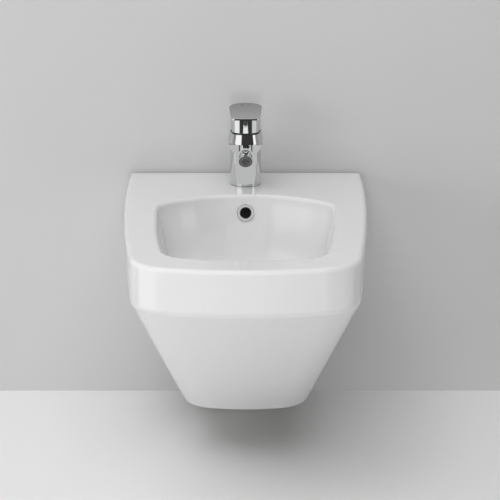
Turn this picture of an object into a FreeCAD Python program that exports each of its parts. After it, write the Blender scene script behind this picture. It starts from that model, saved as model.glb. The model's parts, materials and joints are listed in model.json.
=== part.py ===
import FreeCAD, Part
import math
import os
import Sketcher

# Wall-hung bidet with a single-lever mixer, in millimetres.
# X runs to the right, Y towards the wall, Z up. The origin is on the wall face,
# midway between the two wall studs. The front of the bidet points along -Y.

doc = FreeCAD.newDocument("wall_hung_bidet")
Vector = FreeCAD.Vector

# Driving dimensions
DIMENSIONS = {
    # China, outside
    "rim_height": 85.0,          # rim above the wall studs
    "width": 357.5,
    "depth": 540.0,
    "side_arc": 3800.0,          # long curve of each side in plan
    "corner_arc": 64.0,
    "front_arc": 425.0,
    "band_height": 60.0,         # near-vertical band under the rim
    "band_draft": 1.0,
    "body_height": 290.0,        # rim to underside
    "foot_width": 211.5,         # underside, measured at the wall
    "foot_depth": 262.0,
    "foot_side_arc": 1500.0,
    "foot_corner_arc": 52.0,
    "foot_front_arc": 230.0,
    "rim_round": 6.0,
    "band_round": 10.0,
    # China, walls
    "china_wall": 11.0,
    "deck_thickness": 13.0,
    "back_wall": 18.0,
    "service_width": 130.0,      # way through the back wall for the pipes
    "service_top": 118.0,        # its top edge, below the rim
    # Bowl
    "side_rim": 53.75,            # rim beside the bowl, at its widest
    "bowl_rear": 142.0,          # from the wall
    "front_rim": 50.2,           # rim in front of the bowl
    "bowl_side_arc": 1680.0,
    "bowl_widest": 205.0,        # where the bowl is widest, from the wall
    "bowl_rear_arc": 163.0,
    "bowl_front_arc": 274.0,
    "bowl_rear_corner": 45.0,
    "bowl_front_corner": 44.7,
    "bowl_depth": 112.0,
    "bowl_wall": 10.0,
    "bowl_mouth_round": 5.5,
    # Waste hole
    "waste_setback": 300.0,      # from the wall
    "waste_bore": 23.0,
    "waste_seat": 33.0,
    "waste_seat_depth": 4.0,
    "horn_radius": 37.0,
    "horn_length": 36.0,
    # Overflow duct
    "duct_half_width": 14.0,
    "duct_gap": 9.5,
    "duct_wall": 8.0,
    "duct_bend": 84.0,           # where the duct turns forward, below the rim
    "duct_turn": 30.0,
    "overflow_drop": 25.7,
    "overflow_bore": 10.5,
    "wall_lean": 14.5,           # degrees, lean of the bowl's rear wall
    "overflow_flange": 12.6,
    "overflow_hole": 8.2,
    "overflow_lip": 2.2,
    "overflow_hub": 9.0,
    "overflow_sink": 0.8,
    # Wall studs
    "stud_spacing": 180.0,
    "stud_hole": 12.5,
    "wall_stud_radius": 6.0,
    "sleeve_flange": 17.0,
    "sleeve_flange_thickness": 2.5,
    "fixing_washer_radius": 16.0,
    "fixing_washer_bore": 6.5,
    "fixing_washer_thickness": 2.5,
    "fixing_nut_flats": 19.0,
    "fixing_nut_height": 10.0,
    # Waste fitting
    "waste_flange": 31.5,
    "waste_flange_thickness": 2.5,
    "waste_tail": 20.95,         # thread of the tail, outside radius
    "waste_tail_bore": 18.5,
    "waste_length": 75.0,
    "tail_free_end": 20.0,       # threaded end left for the trap
    "tail_groove_width": 2.5,
    "tail_groove_depth": 0.8,
    "waste_seal_thickness": 1.5,
    "lower_seal_height": 8.0,
    "lower_seal_radius": 30.0,
    "waste_nut_flats": 54.0,
    "waste_nut_height": 11.0,
    "crossbar_drop": 34.0,
    "crossbar_height": 7.0,
    "crossbar_width": 5.0,
    "click_hub": 8.0,
    "click_radius": 5.4,
    "click_bore": 3.6,
    "click_length": 30.0,
    "click_rise": 9.0,           # click barrel above its hub
    "cap_radius": 30.0,
    "cap_thickness": 3.0,
    "cap_rise": 4.0,
    "plug_seal_outer": 24.0,
    "plug_seal_inner": 19.0,
    "plug_seal_thickness": 1.8,
    "plug_stem_length": 44.0,
    "plug_boss_radius": 6.0,
    "plug_boss_length": 8.0,
    "overflow_slot": 18.0,
    # Tap column and head
    "tap_setback": 71.0,         # tap axis from the wall
    "tap_hole": 17.5,
    "tap_radius": 23.0,
    "base_gasket_height": 0.5,
    "base_gasket_inner": 17.0,
    "head_radius": 25.6,         # lying barrel at the top of the column
    "head_height": 72.0,         # its axis above the deck
    "head_front": 27.5,
    "head_rear": 25.0,
    "head_round": 2.0,
    "head_crease": 65.0,         # above this the head's front leans back
    "head_lean": 12.5,           # degrees
    "seat_rim": 79.0,            # head rim around the handle
    "ear_height": 84.0,          # raised ears of the rim, beside the handle
    "ear_front": 14.5,
    "ear_half": 3.0,
    "handle_radius": 22.3,
    "handle_gap": 0.9,
    "handle_lift": 2.4,          # dark joint under the handle
    "pocket_floor": 78.5,
    "skirt_relief": 20.0,        # degrees, cut under the back of the handle
    # Waterways
    "inlet_offset": 8.0,
    "inlet_back": 4.5,
    "inlet_bore": 4.55,
    "inlet_depth": 18.0,
    "port_bore": 1.9,
    "port_spread": 3.6,
    "port_back": 2.4,
    "outlet_front": 4.6,
    # Spout
    "spout_radius": 11.4,
    "spout_height": 54.4,
    "spout_bore": 3.8,
    "spout_bore_start": 2.0,
    "spout_end": 51.0,
    "ball_centre": 50.0,
    "ball_radius": 9.0,
    "ball_chamber": 10.2,
    "seat_rear": 39.0,
    "seat_throat": 41.6,
    "seat_middle": 43.4,
    "seat_front": 46.0,
    "ball_clearance": 0.3,
    "collar_length": 2.2,
    "collar_lip": 8.75,
    "collar_lip_length": 0.6,
    "neck_radius": 4.5,
    "neck_end": 61.6,
    "nozzle_bore": 3.2,
    "nozzle_rear": 59.0,
    "nozzle_front": 64.2,
    "nozzle_radius": 9.9,
    "nozzle_wall": 0.7,
    "nozzle_bevel": 0.5,
    "nozzle_droop": 27.0,        # degrees down at rest
    "nozzle_floor": 2.0,
    "aerator_washer_height": 0.8,
    "aerator_face": 1.2,
    "aerator_hole": 0.75,
    "aerator_pitch": 2.6,
    "aerator_rim": 1.7,
    "aerator_flange": 0.8,       # rim over the nozzle's edge
    "aerator_sink": 0.5,         # face behind the rim around it
    # Tap fixing
    "stud_radius": 4.0,
    "stud_front": 11.5,
    "stud_top": 16.0,
    "stud_length": 62.0,
    "clamp_radius": 23.0,
    "clamp_slot": 13.5,
    "clamp_slot_front": 5.0,
    "clamp_gasket_height": 3.0,
    "clamp_plate_height": 2.5,
    "clamp_nut_flats": 11.0,
    "clamp_nut_height": 14.0,
    # Cartridge, heights above the deck
    "cartridge_floor": 59.0,
    "seal_height": 1.0,
    "seal_wall": 1.1,
    "cartridge_base_height": 2.5,
    "disc_height": 2.0,
    "fixed_disc_radius": 10.6,
    "moving_disc_radius": 7.2,
    "mixing_recess": 5.0,
    "mixing_recess_depth": 1.2,
    "carrier_height": 4.1,
    "carrier_slot_depth": 3.4,
    "cartridge_radius": 12.5,
    "cartridge_wall": 1.4,
    "cartridge_shoulder": 74.8,
    "cartridge_top": 92.0,
    "cartridge_neck": 10.5,
    "holder_radius": 9.0,
    "holder_flange_radius": 10.8,
    "holder_flange_bottom": 71.0,
    "holder_flange_height": 2.0,
    "holder_top": 93.5,
    "holder_slot_length": 13.4,
    "nut_radius": 15.0,
    "nut_bore_bottom": 66.0,
    "nut_top": 82.0,
    "cover_radius": 17.0,
    "cover_wall": 1.4,
    "cover_shoulder": 84.0,
    "cover_top": 91.4,
    "glide_outer": 22.0,
    "glide_height": 1.2,
    "running_clearance": 0.1,
    "loose_clearance": 0.3,
    "fit_clearance": 0.05,
    # Lever
    "pivot_height": 89.0,
    "pin_radius": 1.5,
    "stem_width": 7.0,
    "stem_depth": 5.0,
    "stem_lean": 11.0,           # degrees forward when closed
    "stem_arm": 19.2,
    "stem_ball": 2.2,
    "stem_neck": 3.2,
    "stem_neck_top": 12.0,
    "stem_reach": 20.0,
    "handle_wall": 2.5,
    "handle_ceiling": 109.0,
    "handle_boss": 8.0,
    "handle_boss_front": 3.0,
    "handle_boss_bottom": 98.0,
    "lever_rear": 24.3,
    "lever_tip": 72.0,
    "lever_tip_width": 42.0,
    "lever_tip_round": 8.0,
    "lever_rear_top": 119.2,
    "lever_tip_top": 113.6,
    "lever_rear_bottom": 111.6,
    "lever_tip_bottom": 110.8,
    "lever_edge_round": 1.1,
    "screw_height": 102.0,
    "screw_radius": 2.5,
    "screw_length": 5.0,
    "screw_socket": 2.5,
    "plug_radius": 3.2,
    "dot_radius": 1.7,
    "dot_spread": 5.0,
    "dot_back": 8.0,
    "dot_sink": 1.0,
    "dot_stand": 0.15,
}

sheet = doc.addObject("Spreadsheet::Sheet", "Sizes")
for row, (alias, number) in enumerate(DIMENSIONS.items(), start=1):
    sheet.set(f"A{row}", alias)
    sheet.set(f"B{row}", str(number))
    sheet.setAlias(f"B{row}", alias)
doc.recompute()


# A size keeps its value and the sheet formula that gives it
class Size:
    def __init__(self, value, formula):
        self.value = float(value)
        self.formula = formula

    def __add__(self, other):
        other = as_size(other)
        return Size(self.value + other.value, f"({self.formula} + {other.formula})")

    def __sub__(self, other):
        other = as_size(other)
        return Size(self.value - other.value, f"({self.formula} - {other.formula})")

    def __mul__(self, other):
        other = as_size(other)
        return Size(self.value * other.value, f"({self.formula} * {other.formula})")

    def __truediv__(self, other):
        other = as_size(other)
        return Size(self.value / other.value, f"({self.formula} / {other.formula})")

    def __neg__(self):
        return Size(-self.value, f"(0 - {self.formula})")


def as_size(number):
    if isinstance(number, Size):
        return number
    return Size(number, repr(float(number)))


class SheetSizes:
    def __getattr__(self, alias):
        return Size(DIMENSIONS[alias], f"Sizes.{alias}")


d = SheetSizes()
ZERO = Size(0, "0")
ORIGIN = -1                      # sketch point: the origin
X_AXIS = -1
Y_AXIS = -2
START, END, CENTRE = range(1, 4)
OVERCUT = 1.5                    # cuts run this much further than the solid
SPARE = 0.25                     # share of a blank that is cut away later


def sine(angle):
    return Size(math.sin(math.radians(angle.value)), f"sin({angle.formula})")


def cosine(angle):
    return Size(math.cos(math.radians(angle.value)), f"cos({angle.formula})")


def root(size):
    return Size(math.sqrt(size.value), f"sqrt({size.formula})")


def tangent(angle):
    return Size(math.tan(math.radians(angle.value)), f"tan({angle.formula})")


# Bodies and sketches
def new_body(label, x=ZERO, y=ZERO, z=ZERO, turn=None):
    body = doc.addObject("PartDesign::Body", label)
    body.Label = label
    body.AllowCompound = True
    if turn is not None:
        axis, angle = turn
        body.Placement = FreeCAD.Placement(Vector(), FreeCAD.Rotation(axis, angle.value))
        body.setExpression("Placement.Rotation.Angle", angle.formula)
    for name, place in (("x", x), ("y", y), ("z", z)):
        body.setExpression(f"Placement.Base.{name}", place.formula)
    return body


def new_sketch(body, name, role, offset=ZERO):
    sketch = body.newObject("Sketcher::SketchObject", f"{body.Label}_{name}")
    plane = [part for part in body.Origin.OriginFeatures if part.Role == role][0]
    sketch.AttachmentSupport = [(plane, "")]
    sketch.MapMode = "FlatFace"
    sketch.AttachmentOffset = FreeCAD.Placement(Vector(0, 0, offset.value), FreeCAD.Rotation())
    if offset is not ZERO:
        sketch.setExpression("AttachmentOffset.Base.z", offset.formula)
    return sketch


def bind(sketch, constraint, size):
    index = sketch.addConstraint(constraint)
    sketch.setExpression(f"Constraints[{index}]", size.formula)


def pin(sketch, element, point, u, v):
    for kind, axis, size in (("DistanceX", Y_AXIS, u), ("DistanceY", X_AXIS, v)):
        if size is ZERO:
            sketch.addConstraint(Sketcher.Constraint("PointOnObject", element, point, axis))
        else:
            bind(sketch, Sketcher.Constraint(kind, ORIGIN, START, element, point, size.value), size)


def fix_radius(sketch, element, radius):
    bind(sketch, Sketcher.Constraint("Radius", element, radius.value), radius)


def draw_polygon(sketch, corners):
    points = [Vector(u.value, v.value, 0) for u, v in corners]
    lines = []
    for index, point in enumerate(points):
        following = points[(index + 1) % len(points)]
        lines.append(sketch.addGeometry(Part.LineSegment(point, following), False))
    for index, line in enumerate(lines):
        following = lines[(index + 1) % len(lines)]
        sketch.addConstraint(Sketcher.Constraint("Coincident", line, END, following, START))
    for line, (u, v) in zip(lines, corners):
        pin(sketch, line, START, u, v)


def draw_circle(sketch, radius, u=ZERO, v=ZERO):
    circle = Part.Circle(Vector(u.value, v.value, 0), Vector(0, 0, 1), radius.value)
    element = sketch.addGeometry(circle, False)
    pin(sketch, element, CENTRE, u, v)
    fix_radius(sketch, element, radius)


def draw_axis(sketch, first, last):
    ends = [Vector(u.value, v.value, 0) for u, v in (first, last)]
    line = sketch.addGeometry(Part.LineSegment(*ends), True)
    pin(sketch, line, START, *first)
    pin(sketch, line, END, *last)


def draw_arc(sketch, centre, radius, start, end):
    circle = Part.Circle(Vector(centre[0], centre[1], 0), Vector(0, 0, 1), radius.value)
    return sketch.addGeometry(Part.ArcOfCircle(circle, start, end), False)


# Centre of an arc of radius `small` that touches two larger arcs from inside
def touching_centre(first, first_radius, second, second_radius, small, side):
    reach_first = first_radius - small
    reach_second = second_radius - small
    across = (second[0] - first[0], second[1] - first[1])
    span = math.hypot(*across)
    along = (reach_first**2 - reach_second**2 + span**2) / (2 * span)
    rise = math.sqrt(reach_first**2 - along**2)
    foot = (first[0] + along * across[0] / span, first[1] + along * across[1] / span)
    options = []
    for sign in (1, -1):
        shift = (sign * rise * across[1] / span, -sign * rise * across[0] / span)
        options.append((foot[0] + shift[0], foot[1] + shift[1]))
    return max(options, key=lambda point: side[0] * point[0] + side[1] * point[1])


def bearing(centre, point):
    return math.atan2(point[1] - centre[1], point[0] - centre[0])


def join_tangent(sketch, pairs):
    for first, first_end, second, second_end in pairs:
        joint = Sketcher.Constraint("Tangent", first, first_end, second, second_end)
        sketch.addConstraint(joint)


# D-shaped plan outline: straight back, long curved sides, rounded front corners, bowed front
def draw_plan(sketch, half_width, depth, side, corner, front, back):
    side_x = half_width - side
    front_y = front - depth
    side_centre = (side_x.value, 0.0)
    front_centre = (0.0, front_y.value)
    corner_centre = touching_centre(
        side_centre, side.value, front_centre, front.value, corner.value, (1, -1))
    side_angle = bearing(side_centre, corner_centre)
    front_angle = bearing(front_centre, corner_centre)
    back_x = side_x.value + math.sqrt(side.value**2 - back.value**2)
    back_angle = math.atan2(-back.value, back_x - side_x.value)
    corners = [Vector(-back_x, -back.value, 0), Vector(back_x, -back.value, 0)]
    rear = sketch.addGeometry(Part.LineSegment(*corners), False)
    right = draw_arc(sketch, side_centre, side, side_angle, back_angle)
    right_corner = draw_arc(sketch, corner_centre, corner, front_angle, side_angle)
    bow = draw_arc(sketch, front_centre, front, -math.pi - front_angle, front_angle)
    mirrored = (-corner_centre[0], corner_centre[1])
    left_corner = draw_arc(sketch, mirrored, corner, math.pi - side_angle, math.pi - front_angle)
    left = draw_arc(sketch, (-side_x.value, 0.0), side, math.pi - back_angle, math.pi - side_angle)
    for point in (START, END):
        level = Sketcher.Constraint("DistanceY", ORIGIN, START, rear, point, -back.value)
        bind(sketch, level, -back)
    for element, centre_x in ((right, side_x), (left, -side_x)):
        pin(sketch, element, CENTRE, centre_x, ZERO)
        fix_radius(sketch, element, side)
    sketch.addConstraint(Sketcher.Constraint("Coincident", rear, END, right, END))
    sketch.addConstraint(Sketcher.Constraint("Coincident", rear, START, left, START))
    for element in (right_corner, left_corner):
        fix_radius(sketch, element, corner)
    pin(sketch, bow, CENTRE, ZERO, front_y)
    fix_radius(sketch, bow, front)
    join_tangent(sketch, [
        (right, START, right_corner, END), (right_corner, START, bow, END),
        (bow, START, left_corner, END), (left_corner, START, left, END)])


def bowl_half_width():
    return d.width / 2 - d.side_rim


def bowl_front():
    return d.depth - d.front_rim


# Bowl outline: eight tangent arcs about a centre line, shrunk about the waste and then grown
def draw_bowl(sketch, share, grow):
    def scaled(size):
        return size * share + grow

    def placed(distance):
        return -d.waste_setback - (distance - d.waste_setback) * share

    side, rear, front = (scaled(size) for size in
                         (d.bowl_side_arc, d.bowl_rear_arc, d.bowl_front_arc))
    rear_corner = scaled(d.bowl_rear_corner)
    front_corner = scaled(d.bowl_front_corner)
    side_x = (bowl_half_width() - d.bowl_side_arc) * share
    side_y = placed(d.bowl_widest)
    rear_y = placed(d.bowl_rear + d.bowl_rear_arc)
    front_y = placed(bowl_front() - d.bowl_front_arc)
    side_centre = (side_x.value, side_y.value)
    rear_centre = (0.0, rear_y.value)
    front_centre = (0.0, front_y.value)
    rear_turn = touching_centre(
        side_centre, side.value, rear_centre, rear.value, rear_corner.value, (1, 1))
    front_turn = touching_centre(
        side_centre, side.value, front_centre, front.value, front_corner.value, (1, -1))
    rear_angle = bearing(rear_centre, rear_turn)
    front_angle = bearing(front_centre, front_turn)
    upper = bearing(side_centre, rear_turn)
    lower = bearing(side_centre, front_turn)
    half = math.pi
    right = draw_arc(sketch, side_centre, side, lower, upper)
    rear_right = draw_arc(sketch, rear_turn, rear_corner, upper, rear_angle)
    back = draw_arc(sketch, rear_centre, rear, rear_angle, half - rear_angle)
    turn = (-rear_turn[0], rear_turn[1])
    rear_left = draw_arc(sketch, turn, rear_corner, half - rear_angle, half - upper)
    left_centre = (-side_centre[0], side_centre[1])
    left = draw_arc(sketch, left_centre, side, half - upper, half - lower)
    turn = (-front_turn[0], front_turn[1])
    front_left = draw_arc(sketch, turn, front_corner, half - lower, half - front_angle)
    bow = draw_arc(sketch, front_centre, front, -half - front_angle, front_angle)
    front_right = draw_arc(sketch, front_turn, front_corner, front_angle, lower)
    for element, centre_x in ((right, side_x), (left, -side_x)):
        pin(sketch, element, CENTRE, centre_x, side_y)
        fix_radius(sketch, element, side)
    for element, centre_y, radius in ((back, rear_y, rear), (bow, front_y, front)):
        pin(sketch, element, CENTRE, ZERO, centre_y)
        fix_radius(sketch, element, radius)
    for element in (rear_right, rear_left):
        fix_radius(sketch, element, rear_corner)
    for element in (front_right, front_left):
        fix_radius(sketch, element, front_corner)
    ring = [right, rear_right, back, rear_left, left, front_left, bow, front_right]
    join_tangent(sketch, [(element, END, ring[(index + 1) % len(ring)], START)
                          for index, element in enumerate(ring)])


# Features
def feature(body, kind, name):
    return body.newObject(f"PartDesign::{kind}", f"{body.Label}_{name}")


def extrude(body, kind, name, sketch, length, symmetric=False, reverse=False):
    step = feature(body, kind, name)
    step.Profile = sketch
    if symmetric:
        step.SideType = "Symmetric"
    step.Reversed = reverse
    step.setExpression("Length", length.formula)
    return step


def pad(body, name, sketch, length, **options):
    return extrude(body, "Pad", f"{name}_pad", sketch, length, **options)


def pocket(body, name, sketch, length, **options):
    return extrude(body, "Pocket", f"{name}_pocket", sketch, length, **options)


def spin(body, name, corners, kind="Revolution", role="XZ_Plane", axis="V_Axis"):
    sketch = new_sketch(body, f"{name}_profile", role)
    draw_polygon(sketch, corners)
    step = feature(body, kind, name)
    step.Profile = sketch
    step.ReferenceAxis = (sketch, [axis])
    step.Angle = 360
    return step


def loft(body, kind, name, sketches, ruled):
    step = feature(body, kind, name)
    step.Profile = sketches[0]
    step.Sections = sketches[1:]
    step.Ruled = ruled
    return step


def fillet(body, name, radius, chosen):
    doc.recompute()
    base = body.Tip
    names = [f"Edge{index}" for index, edge in enumerate(base.Shape.Edges, start=1) if chosen(edge)]
    if not names:
        raise RuntimeError(f"{body.Label} {name}: no edge to round")
    step = feature(body, "Fillet", name)
    step.Base = (base, names)
    step.setExpression("Radius", radius.formula)
    doc.recompute()
    return step


def mirror(body, name, originals):
    step = feature(body, "Mirrored", name)
    step.Originals = originals
    plane = [part for part in body.Origin.OriginFeatures if part.Role == "YZ_Plane"][0]
    step.MirrorPlane = (plane, [""])
    body.Tip = step
    return step


NEAR = 0.01


def edge_at(edge, level):
    box = edge.BoundBox
    return abs(box.ZMin - level) < NEAR and abs(box.ZMax - level) < NEAR


def hexagon(flats):
    half_flat = flats / 2
    corner = flats / math.sqrt(3)
    half_corner = corner / 2
    return [(half_flat, half_corner), (ZERO, corner), (-half_flat, half_corner),
            (-half_flat, -half_corner), (ZERO, -corner), (half_flat, -half_corner)]


def rectangle(left, right, bottom, top):
    return [(left, bottom), (right, bottom), (right, top), (left, top)]


# Bowl shape: depth below the rim and share of the opening's size, from mouth to floor
BOWL_LEVELS = [(0.0, 1.0), (0.357, 0.934), (0.714, 0.868), (0.893, 0.79), (0.973, 0.64), (1.0, 0.42)]


def make_ceramic_body():
    body = new_body("ceramic_body", z=d.rim_height)
    half_width = d.width / 2
    kink = -d.band_height
    foot = -d.body_height

    behind = d.back_wall * SPARE
    rim_plan = new_sketch(body, "rim_plan", "XY_Plane")
    draw_plan(rim_plan, half_width, d.depth, d.side_arc, d.corner_arc, d.front_arc, -behind)
    band_plan = new_sketch(body, "band_plan", "XY_Plane", kink)
    draw_plan(band_plan, half_width - d.band_draft, d.depth - d.band_draft,
              d.side_arc - d.band_draft, d.corner_arc - d.band_draft,
              d.front_arc - d.band_draft, -behind)
    foot_plan = new_sketch(body, "foot_plan", "XY_Plane", foot)
    draw_plan(foot_plan, d.foot_width / 2, d.foot_depth, d.foot_side_arc,
              d.foot_corner_arc, d.foot_front_arc, -behind)
    loft(body, "AdditiveLoft", "outside", [rim_plan, band_plan, foot_plan], True)

    def on_outline(level):
        return lambda edge: edge_at(edge, level) and edge.BoundBox.YMin < -NEAR

    fillet(body, "band_round", d.band_round, on_outline(kink.value))
    fillet(body, "rim_round", d.rim_round, on_outline(0.0))
    fillet(body, "foot_round", d.rim_round, on_outline(foot.value))
    trim = new_sketch(body, "wall_trim", "XZ_Plane")
    draw_polygon(trim, rectangle(-d.width, d.width, foot * OVERCUT, d.body_height))
    pocket(body, "wall_trim", trim, behind * OVERCUT)

    wall = d.china_wall
    inner = []
    deck = -d.deck_thickness
    for name, level, draft in (("deck", deck, ZERO), ("band", kink, d.band_draft)):
        sketch = new_sketch(body, f"{name}_hollow", "XY_Plane", level)
        inset = wall + draft
        draw_plan(sketch, half_width - inset, d.depth - inset, d.side_arc - inset,
                  d.corner_arc - inset, d.front_arc - inset, d.back_wall)
        inner.append(sketch)
    sketch = new_sketch(body, "foot_hollow", "XY_Plane", foot)
    draw_plan(sketch, d.foot_width / 2 - wall, d.foot_depth - wall, d.foot_side_arc - wall,
              d.foot_corner_arc - wall, d.foot_front_arc - wall, d.back_wall)
    inner.append(sketch)
    loft(body, "SubtractiveLoft", "hollow", inner, True)

    outer_bowl = []
    for index, (level, share) in enumerate(BOWL_LEVELS):
        height = -(d.bowl_depth * level)
        if index == 0:
            height = deck + d.deck_thickness / 2
        floor_drop = d.bowl_wall * level
        sketch = new_sketch(body, f"bowl_back_{index}", "XY_Plane", height - floor_drop)
        draw_bowl(sketch, share, d.bowl_wall)
        outer_bowl.append(sketch)
    loft(body, "AdditiveLoft", "bowl_back", outer_bowl, False)

    horn = new_sketch(body, "horn", "XY_Plane", -d.bowl_depth - d.horn_length)
    draw_circle(horn, d.horn_radius, ZERO, -d.waste_setback)
    pad(body, "horn", horn, d.horn_length)

    duct = duct_profile(d.duct_wall)
    shell = new_sketch(body, "duct_shell", "YZ_Plane")
    draw_polygon(shell, duct)
    pad(body, "duct_shell", shell, (d.duct_half_width + d.duct_wall) * 2, symmetric=True)

    bowl = []
    for index, (level, share) in enumerate(BOWL_LEVELS):
        height = ZERO if index == 0 else -(d.bowl_depth * level)
        sketch = new_sketch(body, f"bowl_{index}", "XY_Plane", height)
        draw_bowl(sketch, share, ZERO)
        bowl.append(sketch)
    loft(body, "SubtractiveLoft", "bowl", bowl, False)

    def on_mouth(edge):
        box = edge.BoundBox
        return edge_at(edge, 0.0) and box.YMax < -d.bowl_rear.value + NEAR and \
            box.XMax < half_width.value - d.corner_arc.value / 2 and \
            box.YMin > -bowl_front().value - NEAR and \
            box.XMin > -half_width.value + d.corner_arc.value / 2

    fillet(body, "bowl_mouth", d.bowl_mouth_round, on_mouth)

    hole = new_sketch(body, "overflow", "YZ_Plane")
    depth = -(d.bowl_wall + d.duct_gap / 2)
    clear = d.overflow_lip * OVERCUT
    spot = d.overflow_flange + d.loose_clearance
    draw_polygon(hole, [overflow_point(along, across) for along, across in (
        (depth, ZERO), (depth, -d.overflow_bore), (-d.overflow_sink, -d.overflow_bore),
        (-d.overflow_sink, -spot), (clear, -spot), (clear, ZERO))])
    draw_axis(hole, overflow_point(depth, ZERO), overflow_point(clear, ZERO))
    groove = feature(body, "Groove", "overflow_groove")
    groove.Profile = hole
    groove.ReferenceAxis = (hole, ["Axis0"])
    groove.Angle = 360

    way = new_sketch(body, "duct_way", "YZ_Plane")
    draw_polygon(way, duct_profile(ZERO))
    pocket(body, "duct_way", way, d.duct_half_width * 2, symmetric=True)

    seat = new_sketch(body, "waste_seat", "XY_Plane", -d.bowl_depth - d.waste_seat_depth)
    draw_circle(seat, d.waste_seat, ZERO, -d.waste_setback)
    pocket(body, "waste_seat", seat, d.bowl_depth, reverse=True)
    bore = new_sketch(body, "waste_bore", "XY_Plane", -d.bowl_depth)
    draw_circle(bore, d.waste_bore, ZERO, -d.waste_setback)
    pocket(body, "waste_bore", bore, d.horn_length * OVERCUT)

    tap = new_sketch(body, "tap_hole", "XY_Plane")
    draw_circle(tap, d.tap_hole, ZERO, -d.tap_setback)
    pocket(body, "tap_hole", tap, d.deck_thickness * OVERCUT)

    studs = new_sketch(body, "stud_holes", "XZ_Plane")
    for side in (d.stud_spacing / 2, -d.stud_spacing / 2):
        draw_circle(studs, d.stud_hole, side, -d.rim_height)
    pocket(body, "stud_holes", studs, d.back_wall, reverse=True)

    service = new_sketch(body, "service", "XZ_Plane")
    half = d.service_width / 2
    draw_polygon(service, rectangle(-half, half, foot, -d.service_top))
    pocket(body, "service", service, d.back_wall, reverse=True)
    return body


# Point on the overflow's own axis, in the bowl's middle plane: along it into the bowl, and across
def overflow_point(along, across):
    lean = d.wall_lean
    wall_y = -(d.bowl_rear + d.overflow_drop * tangent(lean))
    y = wall_y - along * cosine(lean) + across * sine(lean)
    z = along * sine(lean) + across * cosine(lean) - d.overflow_drop
    return y, z


# Side profile of the overflow duct, from the deck down behind the bowl and forward to the waste
def duct_profile(wall):
    face = -(d.bowl_rear - d.bowl_wall)
    bent_face = face - d.duct_bend * tangent(d.wall_lean)
    top = -(d.deck_thickness / 2 + d.duct_wall) + wall
    ceiling = -(d.bowl_depth + d.bowl_wall) + wall
    floor = -(d.bowl_depth + d.bowl_wall + d.duct_gap) - wall
    low_face = bent_face - d.duct_turn
    return [
        (face + d.duct_gap + wall, top),
        (face - wall, top),
        (bent_face - wall, -d.duct_bend),
        (low_face - wall, ceiling),
        (-d.waste_setback, ceiling),
        (-d.waste_setback, floor),
        (low_face + d.duct_gap + wall, floor),
        (bent_face + d.duct_gap + wall, -d.duct_bend - d.duct_gap / 2),
    ]


QUARTER_TURN = as_size(90)
ACROSS = Vector(1, 0, 0)


def make_overflow_ring():
    y, z = overflow_point(ZERO, ZERO)
    body = new_body("overflow_ring", y=y, z=z + d.rim_height, turn=(ACROSS, QUARTER_TURN - d.wall_lean))
    hub = d.overflow_bore - d.running_clearance
    bottom = -d.overflow_sink
    soft = d.overflow_lip / 2
    spin(body, "ring", [
        (d.overflow_hole, bottom - d.overflow_hub), (hub, bottom - d.overflow_hub), (hub, bottom),
        (d.overflow_flange, bottom), (d.overflow_flange, soft),
        (d.overflow_flange - soft, d.overflow_lip), (d.overflow_hole + soft, d.overflow_lip),
        (d.overflow_hole, soft)])
    return body


# Two alike pieces on the wall studs, from `start` in front of the wall
def stud_pair(label, parts):
    body = new_body(label)
    place = d.stud_spacing / 2
    steps = []
    for name, start, length, draw in parts:
        sketch = new_sketch(body, name, "XZ_Plane", start)
        draw(sketch, place)
        steps.append(pad(body, name, sketch, length))
    mirror(body, "pair", steps)
    return body


def ring_at(outer, inner):
    def draw(sketch, place):
        draw_circle(sketch, outer, place)
        draw_circle(sketch, inner, place)
    return draw


def make_fixing_sleeves():
    tube = d.stud_hole - d.running_clearance
    bore = d.wall_stud_radius + d.fit_clearance
    return stud_pair("fixing_sleeves", [
        ("tube", ZERO, d.back_wall, ring_at(tube, bore)),
        ("flange", d.back_wall, d.sleeve_flange_thickness, ring_at(d.sleeve_flange, bore))])


def make_fixing_washers():
    start = d.back_wall + d.sleeve_flange_thickness
    ring = ring_at(d.fixing_washer_radius, d.fixing_washer_bore)
    return stud_pair("fixing_washers", [("ring", start, d.fixing_washer_thickness, ring)])


def make_fixing_nuts():
    def draw(sketch, place):
        draw_polygon(sketch, [(u + place, v) for u, v in hexagon(d.fixing_nut_flats)])
        draw_circle(sketch, d.wall_stud_radius + d.fit_clearance, place)

    start = d.back_wall + d.sleeve_flange_thickness + d.fixing_washer_thickness
    return stud_pair("fixing_nuts", [("hexagon", start, d.fixing_nut_height, draw)])


# Waste fitting: heights are measured from the floor of its seat in the bowl
def waste_piece(label):
    seat = d.rim_height - d.bowl_depth - d.waste_seat_depth
    return new_body(label, y=-d.waste_setback, z=seat)


def flange_top():
    return d.waste_seal_thickness + d.waste_flange_thickness


def horn_bottom():
    return d.waste_seat_depth - d.horn_length


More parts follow.
